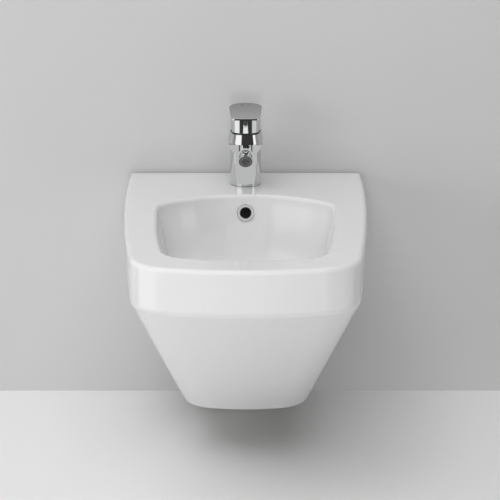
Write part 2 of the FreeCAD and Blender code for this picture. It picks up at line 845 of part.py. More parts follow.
def make_waste_body():
    body = waste_piece("waste_body")
    top = flange_top()
    end = d.waste_seal_thickness - d.waste_length
    bevel = d.waste_flange_thickness / 2
    groove = d.waste_tail - d.tail_groove_depth
    groove_bottom = end + d.tail_free_end
    groove_top = groove_bottom + d.tail_groove_width
    spin(body, "tail", [
        (d.waste_tail_bore, end), (d.waste_tail, end), (d.waste_tail, groove_bottom),
        (groove, groove_bottom), (groove, groove_top), (d.waste_tail, groove_top),
        (d.waste_tail, d.waste_seal_thickness),
        (d.waste_flange, d.waste_seal_thickness), (d.waste_flange, top - bevel),
        (d.waste_flange - bevel, top), (d.waste_tail_bore + bevel, top),
        (d.waste_tail_bore, top - bevel)])
    bar = new_sketch(body, "crossbar", "XY_Plane", -(d.crossbar_drop + d.crossbar_height))
    reach = (d.waste_tail + d.waste_tail_bore) / 2
    half = d.crossbar_width / 2
    draw_polygon(bar, rectangle(-reach, reach, -half, half))
    pad(body, "crossbar", bar, d.crossbar_height)
    hub = new_sketch(body, "hub", "XY_Plane", -(d.crossbar_drop + d.crossbar_height))
    draw_circle(hub, d.click_hub)
    pad(body, "hub", hub, d.crossbar_height)
    thread = new_sketch(body, "thread", "XY_Plane", -(d.crossbar_drop + d.crossbar_height))
    draw_circle(thread, d.click_radius + d.fit_clearance)
    pocket(body, "thread", thread, d.crossbar_height, reverse=True)
    slot = new_sketch(body, "overflow_slot", "XZ_Plane")
    half = d.overflow_slot / 2
    duct_top = d.waste_seat_depth - d.bowl_wall
    draw_polygon(slot, rectangle(-half, half, duct_top - d.duct_gap, duct_top))
    pocket(body, "overflow_slot", slot, d.waste_tail * 2 * OVERCUT, symmetric=True)
    return body


def ring_piece(body, outer, inner, bottom, top):
    spin(body, "ring", [(inner, bottom), (outer, bottom), (outer, top), (inner, top)])
    return body


def make_waste_top_seal():
    tail = d.waste_tail + d.running_clearance
    body = waste_piece("waste_top_seal")
    return ring_piece(body, d.waste_flange, tail, ZERO, d.waste_seal_thickness)


def make_waste_lower_seal():
    tail = d.waste_tail + d.running_clearance
    body = waste_piece("waste_lower_seal")
    bottom = horn_bottom() - d.lower_seal_height
    return ring_piece(body, d.lower_seal_radius, tail, bottom, horn_bottom())


def make_waste_nut():
    body = waste_piece("waste_nut")
    bottom = horn_bottom() - d.lower_seal_height - d.waste_nut_height
    sketch = new_sketch(body, "hexagon", "XY_Plane", bottom)
    draw_polygon(sketch, hexagon(d.waste_nut_flats))
    draw_circle(sketch, d.waste_tail + d.fit_clearance)
    pad(body, "hexagon", sketch, d.waste_nut_height)
    return body


def make_click_barrel():
    body = waste_piece("click_barrel")
    top = d.click_rise - d.crossbar_drop
    bottom = top - d.click_length
    floor = bottom + d.click_radius - d.click_bore
    spin(body, "barrel", [(ZERO, bottom), (d.click_radius, bottom), (d.click_radius, top),
                          (d.click_bore, top), (d.click_bore, floor), (ZERO, floor)])
    return body


def cap_bottom():
    return flange_top() + d.plug_seal_thickness


def make_plug_cap():
    body = waste_piece("plug_cap")
    bottom = cap_bottom()
    edge = bottom + d.cap_thickness / 2
    bore = d.click_bore - d.running_clearance + d.fit_clearance
    boss = bottom - d.plug_boss_length
    crown = bottom + d.cap_rise
    spin(body, "cap", [
        (bore, boss), (d.plug_boss_radius, boss), (d.plug_boss_radius, bottom),
        (d.cap_radius, bottom), (d.cap_radius, edge),
        (d.cap_radius - d.cap_thickness / 2, bottom + d.cap_thickness),
        (d.cap_radius / 2, crown - d.cap_thickness / 8), (ZERO, crown),
        (ZERO, bottom), (bore, bottom)])
    return body


def make_plug_seal():
    body = waste_piece("plug_seal")
    return ring_piece(body, d.plug_seal_outer, d.plug_seal_inner, flange_top(), cap_bottom())


def make_plug_stem():
    body = waste_piece("plug_stem")
    top = cap_bottom()
    radius = d.click_bore - d.running_clearance
    bottom = top - d.plug_stem_length
    spin(body, "rod", [(ZERO, bottom), (radius, bottom), (radius, top), (ZERO, top)])
    return body


# Tap: heights are measured from the deck, Y from the tap's own upright axis
def tap_piece(label, y=ZERO):
    return new_body(label, y=y - d.tap_setback, z=d.rim_height)


def disc(body, name, start, length, radius, u=ZERO, v=ZERO, role="XY_Plane", **options):
    sketch = new_sketch(body, name, role, start)
    draw_circle(sketch, radius, u, v)
    return pad(body, name, sketch, length, **options)


def hole(body, name, start, length, circles, role="XY_Plane", **options):
    sketch = new_sketch(body, name, role, start)
    for radius, u, v in circles:
        draw_circle(sketch, radius, u, v)
    return pocket(body, name, sketch, length, **options)


def ports(radius):
    return [(radius, d.port_spread, d.port_back), (radius, -d.port_spread, d.port_back),
            (radius, ZERO, -d.outlet_front)]


def pocket_radius():
    return d.handle_radius + d.handle_gap


def make_tap_body():
    body = tap_piece("tap_body")
    length = d.head_front + d.head_rear
    disc(body, "head", -d.head_rear, length, d.head_radius, ZERO, d.head_height, role="XZ_Plane")
    fillet(body, "head_round", d.head_round,
           lambda edge: abs(edge.BoundBox.YMax - edge.BoundBox.YMin) < NEAR)
    base = d.base_gasket_height
    disc(body, "column", base, d.head_height - base, d.tap_radius)
    root_of_spout = d.cartridge_radius - d.spout_bore / 2
    disc(body, "spout", root_of_spout, d.spout_end - root_of_spout, d.spout_radius,
         ZERO, d.spout_height, role="XZ_Plane")

    top = new_sketch(body, "rim_cut", "YZ_Plane")
    ahead = d.head_front * OVERCUT
    behind = d.head_rear * OVERCUT
    above = d.head_height + d.head_radius * OVERCUT
    draw_polygon(top, [
        (-ahead, d.seat_rim), (-d.ear_front, d.seat_rim), (-d.ear_half, d.ear_height),
        (d.ear_half, d.ear_height), (d.ear_front, d.seat_rim), (behind, d.seat_rim),
        (behind, above), (-ahead, above)])
    pocket(body, "rim_cut", top, d.head_radius * 2 * OVERCUT, symmetric=True)

    far = d.head_front + d.head_radius
    narrow = d.head_front - (above - d.head_crease) * tangent(d.head_lean)
    spin(body, "head_lean", [(d.head_front, d.head_crease), (far, d.head_crease), (far, above),
                             (narrow, above)], kind="Groove")

    rise = d.head_radius * OVERCUT
    hole(body, "handle_seat", d.pocket_floor, rise, [(pocket_radius(), ZERO, ZERO)], reverse=True)
    hole(body, "nut_thread", d.nut_bore_bottom, rise,
         [(d.nut_radius + d.fit_clearance, ZERO, ZERO)], reverse=True)
    hole(body, "cartridge_bore", d.cartridge_floor, rise,
         [(d.cartridge_radius + d.fit_clearance, ZERO, ZERO)], reverse=True)

    hole(body, "spout_bore", d.spout_bore_start, d.spout_end,
         [(d.spout_bore, ZERO, d.spout_height)], role="XZ_Plane", reverse=True)
    hole(body, "ball_chamber", d.seat_rear, d.spout_end,
         [(d.ball_chamber, ZERO, d.spout_height)], role="XZ_Plane", reverse=True)
    inlets = [(d.inlet_bore, side, d.inlet_back) for side in (d.inlet_offset, -d.inlet_offset)]
    hole(body, "inlets", base, d.inlet_depth, inlets, reverse=True)
    drop = d.cartridge_floor - base - d.inlet_depth + d.port_bore
    hole(body, "inlet_ports", d.cartridge_floor, drop, ports(d.port_bore)[:2])
    hole(body, "outlet_port", d.cartridge_floor, d.cartridge_floor - d.spout_height,
         ports(d.port_bore)[2:])
    hole(body, "stud_thread", base, d.stud_top - base,
         [(d.stud_radius + d.fit_clearance, ZERO, -d.stud_front)], reverse=True)
    return body


def make_base_gasket():
    body = tap_piece("base_gasket")
    outer = d.tap_radius - d.base_gasket_height / 2
    return ring_piece(body, outer, d.base_gasket_inner, ZERO, d.base_gasket_height)


def make_fixing_stud():
    body = tap_piece("fixing_stud")
    disc(body, "rod", d.stud_top - d.stud_length, d.stud_length, d.stud_radius, ZERO, -d.stud_front)
    return body


# Horseshoe plate under the deck: round, with a slot for the hoses and a hole for the stud
def horseshoe(label, top, height):
    body = tap_piece(label)
    disc(body, "plate", top - height, height, d.clamp_radius)
    slot = new_sketch(body, "slot", "XY_Plane", top - height)
    draw_polygon(slot, rectangle(-d.clamp_slot, d.clamp_slot, -d.clamp_slot_front,
                                 d.clamp_radius * OVERCUT))
    pocket(body, "slot", slot, height, reverse=True)
    clear = d.stud_radius + d.loose_clearance
    hole(body, "stud_way", top - height, height, [(clear, ZERO, -d.stud_front)], reverse=True)
    return body


def make_clamp_gasket():
    return horseshoe("clamp_gasket", -d.deck_thickness, d.clamp_gasket_height)


def make_clamp_plate():
    return horseshoe("clamp_plate", -d.deck_thickness - d.clamp_gasket_height, d.clamp_plate_height)


def make_clamp_nut():
    body = tap_piece("clamp_nut")
    top = -d.deck_thickness - d.clamp_gasket_height - d.clamp_plate_height
    sketch = new_sketch(body, "hexagon", "XY_Plane", top - d.clamp_nut_height)
    draw_polygon(sketch, [(u, v - d.stud_front) for u, v in hexagon(d.clamp_nut_flats)])
    draw_circle(sketch, d.stud_radius + d.fit_clearance, ZERO, -d.stud_front)
    pad(body, "hexagon", sketch, d.clamp_nut_height)
    return body


# Cartridge, from its floor upwards
def base_bottom():
    return d.cartridge_floor + d.seal_height


def fixed_disc_bottom():
    return base_bottom() + d.cartridge_base_height


def moving_disc_bottom():
    return fixed_disc_bottom() + d.disc_height


def carrier_bottom():
    return moving_disc_bottom() + d.disc_height


# The closed lever holds the moving disc this far behind the tap's axis
def closed_offset():
    return d.stem_arm * sine(d.stem_lean)


def make_port_seals():
    body = tap_piece("port_seals")
    sketch = new_sketch(body, "rings", "XY_Plane", d.cartridge_floor)
    for size in (d.port_bore + d.seal_wall, d.port_bore):
        for radius, u, v in ports(size):
            draw_circle(sketch, radius, u, v)
    pad(body, "rings", sketch, d.seal_height)
    return body


def ported_disc(label, radius, bottom, height):
    body = tap_piece(label)
    disc(body, "plate", bottom, height, radius)
    hole(body, "ports", bottom, height, ports(d.port_bore), reverse=True)
    return body


def make_cartridge_base():
    return ported_disc("cartridge_base", d.cartridge_radius, base_bottom(), d.cartridge_base_height)


def make_fixed_disc():
    return ported_disc("fixed_disc", d.fixed_disc_radius, fixed_disc_bottom(), d.disc_height)


def make_moving_disc():
    body = tap_piece("moving_disc", closed_offset())
    disc(body, "plate", moving_disc_bottom(), d.disc_height, d.moving_disc_radius)
    hole(body, "recess", moving_disc_bottom(), d.mixing_recess_depth,
         [(d.mixing_recess, ZERO, ZERO)], reverse=True)
    return body


def make_disc_carrier():
    body = tap_piece("disc_carrier", closed_offset())
    disc(body, "plate", carrier_bottom(), d.carrier_height, d.moving_disc_radius)
    slot = new_sketch(body, "slot", "XY_Plane", carrier_bottom() + d.carrier_height)
    half_width = d.stem_width / 2 + d.running_clearance
    half_length = d.stem_ball + d.running_clearance
    draw_polygon(slot, rectangle(-half_width, half_width, -half_length, half_length))
    pocket(body, "slot", slot, d.carrier_slot_depth)
    return body


def make_cartridge_housing():
    body = tap_piece("cartridge_housing")
    bottom = fixed_disc_bottom()
    bore = d.cartridge_radius - d.cartridge_wall
    shelf = d.holder_flange_bottom + d.holder_flange_height + d.running_clearance
    neck_bore = d.holder_radius + d.running_clearance
    spin(body, "shell", [
        (bore, bottom), (d.cartridge_radius, bottom), (d.cartridge_radius, d.cartridge_shoulder),
        (d.cartridge_neck, d.cartridge_shoulder), (d.cartridge_neck, d.cartridge_top),
        (neck_bore, d.cartridge_top), (neck_bore, shelf), (bore, shelf)])
    return body


def make_stem_holder():
    body = tap_piece("stem_holder")
    bottom = d.holder_flange_bottom
    ledge = bottom + d.holder_flange_height
    spin(body, "turret", [
        (ZERO, bottom), (d.holder_flange_radius, bottom), (d.holder_flange_radius, ledge),
        (d.holder_radius, ledge), (d.holder_radius, d.holder_top), (ZERO, d.holder_top)])
    slot = new_sketch(body, "slot", "XY_Plane", bottom)
    half_width = d.stem_width / 2 + d.running_clearance
    half_length = d.holder_slot_length / 2
    draw_polygon(slot, rectangle(-half_width, half_width, -half_length, half_length))
    pocket(body, "slot", slot, d.holder_top - bottom, reverse=True)
    hole(body, "pin_way", ZERO, d.holder_radius * 2 * OVERCUT,
         [(d.pin_radius + d.fit_clearance, ZERO, d.pivot_height)], role="YZ_Plane", symmetric=True)
    return body


def make_stem_pin():
    body = tap_piece("stem_pin")
    length = (d.holder_radius - d.loose_clearance) * 2
    disc(body, "rod", ZERO, length, d.pin_radius, ZERO, d.pivot_height, role="YZ_Plane", symmetric=True)
    return body


def make_lever_stem():
    body = new_body("lever_stem", y=-d.tap_setback, z=d.rim_height + d.pivot_height,
                    turn=(ACROSS, d.stem_lean))
    half = d.stem_depth / 2
    neck = d.stem_neck / 2
    bar = new_sketch(body, "bar", "YZ_Plane")
    draw_polygon(bar, [(-neck, -d.stem_arm), (neck, -d.stem_arm), (neck, -d.stem_neck_top),
                       (half, -d.stem_neck_top), (half, d.stem_reach), (-half, d.stem_reach),
                       (-half, -d.stem_neck_top), (-neck, -d.stem_neck_top)])
    pad(body, "bar", bar, d.stem_width, symmetric=True)
    disc(body, "toe", ZERO, d.stem_width, d.stem_ball, ZERO, -d.stem_arm, role="YZ_Plane",
         symmetric=True)
    hole(body, "pin_way", ZERO, d.stem_width * OVERCUT, [(d.pin_radius + d.fit_clearance, ZERO, ZERO)],
         role="YZ_Plane", symmetric=True)
    return body


def make_cartridge_nut():
    body = tap_piece("cartridge_nut")
    inner = d.cartridge_neck + d.running_clearance
    return ring_piece(body, d.nut_radius, inner, d.cartridge_shoulder, d.nut_top)


def make_cartridge_cover():
    body = tap_piece("cartridge_cover")
    wall = d.cover_wall
    collar = d.cartridge_neck + d.loose_clearance
    shoulder = d.cover_shoulder
    inside = d.cover_radius - wall
    crown = d.cover_top - wall
    spin(body, "dome", [
        (inside, d.pocket_floor), (d.cover_radius, d.pocket_floor), (d.cover_radius, shoulder),
        (collar + wall, d.cover_top), (collar, d.cover_top), (collar, crown), (inside, shoulder)])
    return body


def make_glide_ring():
    body = tap_piece("glide_ring")
    inner = d.cover_radius + d.loose_clearance
    return ring_piece(body, d.glide_outer, inner, d.pocket_floor, d.pocket_floor + d.glide_height)


# Height of the lever's top face, at a distance behind the tap's axis
def lever_top(back):
    fall = (d.lever_rear_top - d.lever_tip_top) / (d.lever_rear + d.lever_tip)
    return d.lever_rear_top - (d.lever_rear - back) * fall


def lever_bottom(back):
    fall = (d.lever_rear_bottom - d.lever_tip_bottom) / (d.lever_rear + d.lever_tip)
    return d.lever_rear_bottom - (d.lever_rear - back) * fall


# Point in the stem's own leaning frame, brought to the tap's frame
def on_stem(across, along):
    y = across * cosine(d.stem_lean) - along * sine(d.stem_lean)
    z = across * sine(d.stem_lean) + along * cosine(d.stem_lean) + d.pivot_height
    return y, z


def draw_lever_plan(sketch):
    rear = d.lever_rear
    half_tip = d.lever_tip_width / 2
    crown = draw_arc(sketch, (0.0, 0.0), rear, 0.0, math.pi)
    pin(sketch, crown, CENTRE, ZERO, ZERO)
    fix_radius(sketch, crown, rear)
    corners = [(-rear, ZERO), (-half_tip, -d.lever_tip), (half_tip, -d.lever_tip), (rear, ZERO)]
    points = [Vector(u.value, v.value, 0) for u, v in corners]
    lines = [sketch.addGeometry(Part.LineSegment(first, last), False)
             for first, last in zip(points, points[1:])]
    sides = [(crown, END, lines[0], START), (lines[0], END, lines[1], START),
             (lines[1], END, lines[2], START), (lines[2], END, crown, START)]
    for joint in sides:
        sketch.addConstraint(Sketcher.Constraint("Coincident", *joint))
    for end in (START, END):
        sketch.addConstraint(Sketcher.Constraint("PointOnObject", crown, end, X_AXIS))
    pin(sketch, lines[1], START, *corners[1])
    pin(sketch, lines[1], END, *corners[2])


def make_handle():
    body = tap_piece("handle")
    spare = d.lever_rear * SPARE
    floor = d.lever_tip_bottom - spare
    ceiling = d.lever_rear_top + spare
    plan = new_sketch(body, "lever", "XY_Plane", floor)
    draw_lever_plan(plan)
    pad(body, "lever", plan, ceiling - floor)
    front = -d.lever_tip * OVERCUT
    back = d.lever_rear * OVERCUT
    above = ceiling + spare
    below = floor - spare
    for name, surface, level in (("top", lever_top, above), ("under", lever_bottom, below)):
        cut = new_sketch(body, name, "YZ_Plane")
        draw_polygon(cut, [(front, surface(front)), (back, surface(back)), (back, level), (front, level)])
        pocket(body, name, cut, d.lever_rear * 2 * OVERCUT, symmetric=True)

    def on_tip_corner(edge):
        box = edge.BoundBox
        return box.YMax < NEAR - d.lever_tip.value and box.XMax - box.XMin < NEAR

    fillet(body, "tip_round", d.lever_tip_round, on_tip_corner)

    def on_top(edge):
        middle = edge.valueAt((edge.FirstParameter + edge.LastParameter) / 2)
        return abs(middle.z - lever_top(as_size(middle.y)).value) < NEAR

    fillet(body, "edge_round", d.lever_edge_round, on_top)

    skirt_top = (lever_bottom(ZERO) + lever_top(ZERO)) / 2
    disc(body, "skirt", d.pocket_floor, skirt_top - d.pocket_floor, d.handle_radius)
    hole(body, "hollow", d.pocket_floor, d.handle_ceiling - d.pocket_floor,
         [(d.handle_radius - d.handle_wall, ZERO, ZERO)], reverse=True)
    disc(body, "boss", d.handle_boss_bottom, skirt_top - d.handle_boss_bottom, d.handle_boss,
         ZERO, -d.handle_boss_front)
    socket = new_sketch(body, "socket", "YZ_Plane")
    half = d.stem_depth / 2 + d.fit_clearance
    deep = d.stem_reach + d.fit_clearance
    draw_polygon(socket, [on_stem(-half, ZERO), on_stem(half, ZERO), on_stem(half, deep),
                          on_stem(-half, deep)])
    pocket(body, "socket", socket, d.stem_width + d.fit_clearance * 2, symmetric=True)

    under = new_sketch(body, "skirt_cut", "YZ_Plane")
    reach = d.handle_radius * OVERCUT
    edge = d.seat_rim + d.handle_lift
    low = d.pocket_floor - spare
    draw_polygon(under, [(-reach, edge), (ZERO, edge), (reach, edge + reach * tangent(d.skirt_relief)),
                         (reach, low), (-reach, low)])
    pocket(body, "skirt_cut", under, d.handle_radius * 2 * OVERCUT, symmetric=True)

    hole(body, "screw_thread", ZERO, d.handle_boss,
         [(d.screw_radius + d.fit_clearance, ZERO, d.screw_height)], role="XZ_Plane")
    inside = d.handle_radius - d.handle_wall * OVERCUT
    hole(body, "screw_way", -inside, d.handle_wall * 2 * OVERCUT,
         [(d.plug_radius + d.fit_clearance, ZERO, d.screw_height)], role="XZ_Plane")
    dots = [(d.dot_radius + d.fit_clearance, side, d.dot_back) for side in (d.dot_spread, -d.dot_spread)]
    hole(body, "dots", lever_top(d.dot_back) - d.dot_sink, d.dot_sink * 2 * OVERCUT, dots, reverse=True)
    return body


def make_handle_screw():
    body = tap_piece("handle_screw")
    lowest = d.screw_height - d.screw_radius - d.pivot_height
    start, _ = on_stem(d.stem_depth / 2, lowest)
    seat = -(start + d.running_clearance) - d.screw_length
    disc(body, "rod", seat, d.screw_length, d.screw_radius, ZERO, d.screw_height, role="XZ_Plane")
    socket = new_sketch(body, "socket", "XZ_Plane", seat)
    draw_polygon(socket, [(u, v + d.screw_height) for u, v in hexagon(d.screw_socket)])
    pocket(body, "socket", socket, d.screw_socket, reverse=True)
    return body


def make_screw_plug():
    body = tap_piece("screw_plug")
    outside = d.handle_radius + d.running_clearance
    disc(body, "button", -outside, d.handle_wall, d.plug_radius, ZERO, d.screw_height, role="XZ_Plane")
    return body


def make_dot(label, side):
    body = tap_piece(label)
    disc(body, "enamel", lever_top(d.dot_back) - d.dot_sink, d.dot_sink + d.dot_stand,
         d.dot_radius, side, d.dot_back)
    return body


# Nozzle: pieces turned about the spout's axis, measured forward from the ball's centre
def nozzle_piece(label, droop=ZERO):
    return new_body(label, y=-d.tap_setback - d.ball_centre, z=d.rim_height + d.spout_height,
                    turn=(ACROSS, QUARTER_TURN + droop))


def ahead_of_ball(reach):
    return reach - d.ball_centre


# Radius that clears the ball at a distance from its centre
def ball_clear(offset):
    return root(d.ball_radius * d.ball_radius - offset * offset) + d.ball_clearance


def make_ball_seat():
    body = nozzle_piece("ball_seat")
    rear = ahead_of_ball(d.seat_rear)
    front = ahead_of_ball(d.seat_front)
    outer = d.ball_chamber - d.running_clearance
    middle = ahead_of_ball(d.seat_middle)
    throat = ahead_of_ball(d.seat_throat)
    spin(body, "seat", [(d.spout_bore, rear), (outer, rear), (outer, front), (ball_clear(front), front),
                        (ball_clear(middle), middle), (d.spout_bore, throat)])
    return body


def make_ball_collar():
    body = nozzle_piece("ball_collar")
    face = ahead_of_ball(d.spout_end)
    front = face + d.collar_length
    sleeve = d.ball_chamber - d.fit_clearance
    inside = d.ball_radius + d.ball_clearance + d.fit_clearance
    half = face + d.collar_length / 2
    lip = front - d.collar_lip_length
    spin(body, "collar", [
        (inside, -face), (sleeve, -face), (sleeve, face), (d.spout_radius, face),
        (d.spout_radius, front), (d.collar_lip, front), (d.collar_lip, lip),
        (ball_clear(half), half), (ball_clear(face), face), (inside, ZERO)])
    return body


def make_nozzle_ball():
    body = nozzle_piece("nozzle_ball", d.nozzle_droop)
    ball = feature(body, "AdditiveSphere", "ball")
    ball.setExpression("Radius", d.ball_radius.formula)
    disc(body, "neck", ZERO, ahead_of_ball(d.neck_end), d.neck_radius)
    hole(body, "bore", -d.ball_radius, d.neck_end, [(d.nozzle_bore, ZERO, ZERO)], reverse=True)
    return body


def nozzle_inside():
    return d.nozzle_radius - d.nozzle_wall


def make_aerator_housing():
    body = nozzle_piece("aerator_housing", d.nozzle_droop)
    rear = ahead_of_ball(d.nozzle_rear)
    front = ahead_of_ball(d.nozzle_front)
    floor = rear + d.nozzle_floor
    bevel = d.nozzle_bevel
    throat = d.neck_radius + d.fit_clearance
    spin(body, "housing", [
        (throat, rear), (d.nozzle_radius - bevel, rear), (d.nozzle_radius, rear + bevel),
        (d.nozzle_radius, front - bevel), (d.nozzle_radius - bevel, front),
        (nozzle_inside(), front), (nozzle_inside(), floor), (throat, floor)])
    return body


def make_aerator_washer():
    body = nozzle_piece("aerator_washer", d.nozzle_droop)
    bottom = ahead_of_ball(d.neck_end)
    outer = nozzle_inside() - d.running_clearance
    return ring_piece(body, outer, d.neck_radius, bottom, bottom + d.aerator_washer_height)


def make_aerator_insert():
    body = nozzle_piece("aerator_insert", d.nozzle_droop)
    outer = nozzle_inside() - d.running_clearance
    inner = outer - d.aerator_rim
    rear = ahead_of_ball(d.neck_end) + d.aerator_washer_height
    seat = ahead_of_ball(d.nozzle_front)
    front = seat + d.aerator_flange
    face = front - d.aerator_sink
    back = face - d.aerator_face
    spin(body, "cup", [(ZERO, back), (inner, back), (inner, rear), (outer, rear), (outer, seat),
                       (d.nozzle_radius, seat), (d.nozzle_radius, front), (inner, front),
                       (inner, face), (ZERO, face)])
    jets = []
    half_step = as_size(math.sqrt(3) / 2)
    rows = 2                     # rows of jets on each side of the middle one
    for row in range(-rows, rows + 1):
        count = 2 * rows + 1 - abs(row)
        for column in range(count):
            across = d.aerator_pitch * (column - (count - 1) / 2)
            jets.append((d.aerator_hole, across, d.aerator_pitch * half_step * row))
    hole(body, "jets", back, d.aerator_face, jets, reverse=True)
    return body


bodies = [
    make_ceramic_body(), make_overflow_ring(),
    make_fixing_sleeves(), make_fixing_washers(), make_fixing_nuts(),
    make_waste_body(), make_waste_top_seal(), make_waste_lower_seal(), make_waste_nut(),
    make_click_barrel(), make_plug_cap(), make_plug_seal(), make_plug_stem(),
    make_tap_body(), make_base_gasket(), make_fixing_stud(),
    make_clamp_gasket(), make_clamp_plate(), make_clamp_nut(),
    make_port_seals(), make_cartridge_base(), make_fixed_disc(), make_moving_disc(),
    make_disc_carrier(), make_cartridge_housing(), make_stem_holder(), make_stem_pin(),
    make_lever_stem(), make_cartridge_nut(), make_cartridge_cover(), make_glide_ring(),
    make_handle(), make_handle_screw(), make_screw_plug(),
    make_dot("cold_dot", -d.dot_spread), make_dot("hot_dot", d.dot_spread),
    make_ball_seat(), make_ball_collar(), make_nozzle_ball(),
    make_aerator_housing(), make_aerator_washer(), make_aerator_insert(),
]
doc.recompute()

for item in doc.Objects:
    if "Invalid" in item.State or "Error" in item.State:
        raise RuntimeError(f"{item.Label} failed: {item.State}")
for body in bodies:
    if body.Shape.isNull() or not body.Shape.isValid() or not body.Shape.Solids:
        raise RuntimeError(f"{body.Label} has no valid solid")

os.makedirs("parts", exist_ok=True)
for body in bodies:
    body.Shape.exportStep(f"parts/{body.Label}.step")
    print(f"{body.Label}: {len(body.Shape.Solids)} solid(s), {body.Shape.Volume / 1000:.2f} cm3")
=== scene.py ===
import json
import math

import bpy
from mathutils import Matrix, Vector
from mathutils.bvhtree import BVHTree


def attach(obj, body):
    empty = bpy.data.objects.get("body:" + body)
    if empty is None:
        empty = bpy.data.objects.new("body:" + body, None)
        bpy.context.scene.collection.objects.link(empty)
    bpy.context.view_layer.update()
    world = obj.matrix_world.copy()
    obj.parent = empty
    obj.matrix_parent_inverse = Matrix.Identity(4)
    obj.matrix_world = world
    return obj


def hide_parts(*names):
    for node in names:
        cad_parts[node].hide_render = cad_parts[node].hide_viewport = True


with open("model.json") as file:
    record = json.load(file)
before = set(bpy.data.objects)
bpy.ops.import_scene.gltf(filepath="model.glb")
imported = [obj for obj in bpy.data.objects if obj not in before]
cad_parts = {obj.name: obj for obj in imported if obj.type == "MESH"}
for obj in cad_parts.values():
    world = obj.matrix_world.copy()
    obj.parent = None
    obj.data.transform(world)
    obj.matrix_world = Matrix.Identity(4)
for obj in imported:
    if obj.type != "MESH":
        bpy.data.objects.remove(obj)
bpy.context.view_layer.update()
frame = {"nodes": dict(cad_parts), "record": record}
scene = bpy.context.scene
nodes = frame["nodes"]
print("frame loaded:", len(nodes), "pieces")


# Small helpers for node trees

floatKind, colourKind = "NodeSocketFloat", "NodeSocketColor"


def addNode(tree, kind, **settings):
    node = tree.nodes.new(kind)
    for key, value in settings.items():
        setattr(node, key, value)
    return node


def setInputs(node, values):
    for label, value in values.items():
        node.inputs[label].default_value = value


def newGroup(name, inputs, outputs):
    group = bpy.data.node_groups.new(name, "ShaderNodeTree")
    for label, kind, value in inputs:
        socket = group.interface.new_socket(label, in_out="INPUT", socket_type=kind)
        socket.default_value = value
    for label, kind in outputs:
        group.interface.new_socket(label, in_out="OUTPUT", socket_type=kind)
    return group, addNode(group, "NodeGroupInput"), addNode(group, "NodeGroupOutput")


def useGroup(tree, group, **values):
    node = addNode(tree, "ShaderNodeGroup", node_tree=group)
    setInputs(node, values)
    return node.outputs[0]


def newMaterial(name):
    material = bpy.data.materials.new(name)
    material.use_nodes = True
    tree = material.node_tree
    return material, tree, tree.nodes["Principled BSDF"]


def grey(level):
    return (level, level, level, 1.0)


# Effects that several finishes share

def addDrift(group, given, detail):
    # noise in the piece's own space, at the scale that the group is given
    place = addNode(group, "ShaderNodeTexCoord")
    noise = addNode(group, "ShaderNodeTexNoise")
    noise.inputs["Detail"].default_value = detail
    group.links.new(place.outputs["Object"], noise.inputs["Vector"])
    group.links.new(given.outputs["Scale"], noise.inputs["Scale"])
    return noise.outputs["Fac"]


def makeUnevenness():
    # a soft wave of the surface, for glaze, plate and mouldings
    group, given, result = newGroup("unevenness", [("Scale", floatKind, 20.0)], [("Height", floatKind)])
    group.links.new(addDrift(group, given, 2.0), result.inputs["Height"])
    return group


def makeWipeMarks():
    # roughness that drifts where a surface has been wiped and dried
    group, given, result = newGroup(
        "wipeMarks", [("Scale", floatKind, 30.0), ("Clean", floatKind, 0.05), ("Marked", floatKind, 0.1)],
        [("Roughness", floatKind)])
    spread = addNode(group, "ShaderNodeMapRange", interpolation_type="SMOOTHSTEP")
    setInputs(spread, {"From Min": 0.38, "From Max": 0.72})
    link = group.links.new
    link(addDrift(group, given, 4.0), spread.inputs["Value"])
    link(given.outputs["Clean"], spread.inputs["To Min"])
    link(given.outputs["Marked"], spread.inputs["To Max"])
    link(spread.outputs["Result"], result.inputs["Roughness"])
    return group


def makeTone():
    # two near colours of one finish, drifting into each other
    group, given, result = newGroup(
        "tone", [("Scale", floatKind, 12.0), ("Light", colourKind, grey(0.8)), ("Dark", colourKind, grey(0.7))],
        [("Color", colourKind)])
    blend = addNode(group, "ShaderNodeMix", data_type="RGBA")
    link = group.links.new
    link(addDrift(group, given, 3.0), blend.inputs["Factor"])
    link(given.outputs["Light"], blend.inputs["A"])
    link(given.outputs["Dark"], blend.inputs["B"])
    link(blend.outputs["Result"], result.inputs["Color"])
    return group


unevenness = makeUnevenness()
wipeMarks = makeWipeMarks()
tone = makeTone()


# Finishes, by the record's material slots: colours and roughness from clean to marked, lengths in metres

